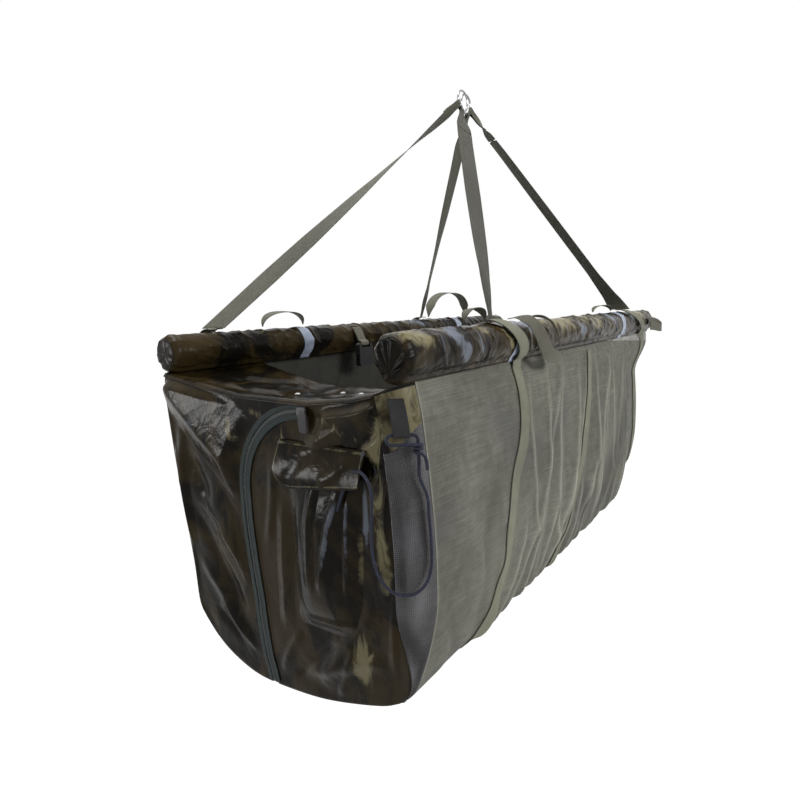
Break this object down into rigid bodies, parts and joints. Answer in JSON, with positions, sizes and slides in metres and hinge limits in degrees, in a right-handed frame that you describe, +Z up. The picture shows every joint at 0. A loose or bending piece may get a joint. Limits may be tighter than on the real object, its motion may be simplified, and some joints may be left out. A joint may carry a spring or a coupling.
{
  "type": "floating retainer sling",
  "caption": "Long mesh bag slung between two padded float tubes, lifted by four webbing straps that meet at two steel rings, with a zipped end, a cord pocket and carrying handles",
  "frame": {"origin": "the point where the two steel rings hang on a scale's hook", "axes": "+X along the float tubes towards the plain far end, +Y across towards the rear tube, +Z up"},
  "size_m": [1.2403, 0.5419, 0.998],
  "materials": {
    "sleeve_cloth": "shiny coated cloth with a smudged water and reed pattern",
    "foam": "closed-cell foam",
    "band_cloth": "pale reflective tape",
    "bag_mesh": "fine grey-olive mesh",
    "web_olive": "light olive flat webbing",
    "strap_web": "olive-grey ribbed webbing",
    "dark_web": "near-black webbing",
    "steel": "polished round wire",
    "zip_cloth": "teal-grey zip tape",
    "zip_teeth": "moulded teeth",
    "pull_cloth": "pale grey-lilac tape",
    "dark_plastic": "near-black moulded plastic",
    "white_plastic": "small white studs",
    "cord": "navy-black braided cord"
  },
  "bodies": {
    "sling": {"rear_core": "foam", "front_core": "foam", "rear_sleeve": "sleeve_cloth", "front_sleeve": "sleeve_cloth", "rear_cap_near": "sleeve_cloth", "rear_cap_far": "sleeve_cloth", "front_cap_near": "sleeve_cloth", "front_cap_far": "sleeve_cloth", "rear_band_near": "band_cloth", "rear_band_far": "band_cloth", "front_band_near": "band_cloth", "front_band_far": "band_cloth", "front_mesh_side": "bag_mesh", "rear_mesh_side": "bag_mesh", "mesh_floor": "bag_mesh", "near_corner_gusset": "bag_mesh", "far_end_panel": "sleeve_cloth", "near_hood": "sleeve_cloth", "hood_stud_1": "white_plastic", "hood_stud_2": "white_plastic", "hood_stud_3": "white_plastic", "near_panel_front": "sleeve_cloth", "near_panel_rear": "sleeve_cloth", "zip_tape_rear": "zip_cloth", "zip_tape_front": "zip_cloth", "zip_chain": "zip_teeth", "pocket_body": "sleeve_cloth", "near_cradle_web": "web_olive", "far_cradle_web": "web_olive", "far_edge_web": "web_olive", "far_end_loop": "strap_web", "buckle_tab_rear": "strap_web", "buckle_tab_front": "strap_web", "cord_tab": "dark_web", "cord_knot": "cord", "cord_hank": "cord", "retaining_cord": "cord"},
    "near_bridle": {"strap_rear_near": "strap_web", "strap_front_near": "strap_web"},
    "far_bridle": {"strap_rear_far": "strap_web", "strap_front_far": "strap_web"},
    "near_ring": {"ring_near": "steel"},
    "far_ring": {"ring_far": "steel"},
    "rear_near_handle": {"handle_rear_near": "strap_web"},
    "rear_far_handle": {"handle_rear_far": "strap_web"},
    "front_near_handle": {"handle_front_near": "strap_web"},
    "front_mid_handle": {"handle_front_mid": "strap_web"},
    "front_far_handle": {"handle_front_far": "strap_web"},
    "flap": {"pocket_flap": "sleeve_cloth"},
    "slider": {"zip_slider": "dark_plastic"},
    "pull": {"zip_pull": "pull_cloth"},
    "female_buckle": {"buckle_female": "dark_plastic"},
    "male_buckle": {"buckle_male": "dark_plastic"}
  },
  "joints": [
    {"name": "near_bridle_swing", "type": "hinge", "parent": "sling", "child": "near_bridle", "pos_m": [-0.34, -0.225, -0.4532], "axis": [0.335, -0.9422, 0], "range_deg": [0, 95]},
    {"name": "far_bridle_swing", "type": "hinge", "parent": "sling", "child": "far_bridle", "pos_m": [0.15, 0.225, -0.4532], "axis": [-0.4229, 0.9062, 0], "range_deg": [0, 60]},
    {"name": "near_ring_spin", "type": "hinge", "parent": "near_bridle", "child": "near_ring", "pos_m": [-0.0112, -0.0025, -0.0134], "axis": [0, 1, 0], "continuous": true},
    {"name": "far_ring_spin", "type": "hinge", "parent": "far_bridle", "child": "far_ring", "pos_m": [0.0112, 0.0025, -0.0134], "axis": [0, 1, 0], "continuous": true},
    {"name": "rear_near_handle_swing", "type": "hinge", "parent": "sling", "child": "rear_near_handle", "pos_m": [-0.338, 0.225, -0.4553], "axis": [-1, 0, 0], "range_deg": [0, 70]},
    {"name": "rear_far_handle_swing", "type": "hinge", "parent": "sling", "child": "rear_far_handle", "pos_m": [0.284, 0.225, -0.4553], "axis": [-1, 0, 0], "range_deg": [0, 70]},
    {"name": "front_near_handle_swing", "type": "hinge", "parent": "sling", "child": "front_near_handle", "pos_m": [-0.389, -0.225, -0.4553], "axis": [1, 0, 0], "range_deg": [0, 75]},
    {"name": "front_mid_handle_lift", "type": "hinge", "parent": "sling", "child": "front_mid_handle", "pos_m": [-0.249, -0.225, -0.4553], "axis": [-1, 0, 0], "range_deg": [0, 140]},
    {"name": "front_far_handle_swing", "type": "hinge", "parent": "sling", "child": "front_far_handle", "pos_m": [0.2175, -0.225, -0.4553], "axis": [1, 0, 0], "range_deg": [0, 70]},
    {"name": "flap_open", "type": "hinge", "parent": "sling", "child": "flap", "pos_m": [-0.6018, -0.11, -0.603], "axis": [0, 1, 0], "range_deg": [0, 105]},
    {"name": "zip_travel", "type": "hinge", "parent": "sling", "child": "slider", "pos_m": [-0.6, -0.08, -0.688], "axis": [-1, 0, 0], "range_deg": [0, 80]},
    {"name": "pull_lift", "type": "hinge", "parent": "slider", "child": "pull", "pos_m": [-0.6074, -0.088, -0.56], "axis": [0, 1, 0], "range_deg": [0, 165]},
    {"name": "female_buckle_swing", "type": "hinge", "parent": "sling", "child": "female_buckle", "pos_m": [-0.15, 0.178, -0.5042], "axis": [-1, 0, 0], "range_deg": [-30, 60]},
    {"name": "male_buckle_swing", "type": "hinge", "parent": "sling", "child": "male_buckle", "pos_m": [-0.15, -0.178, -0.5042], "axis": [1, 0, 0], "range_deg": [-30, 60]}
  ]
}
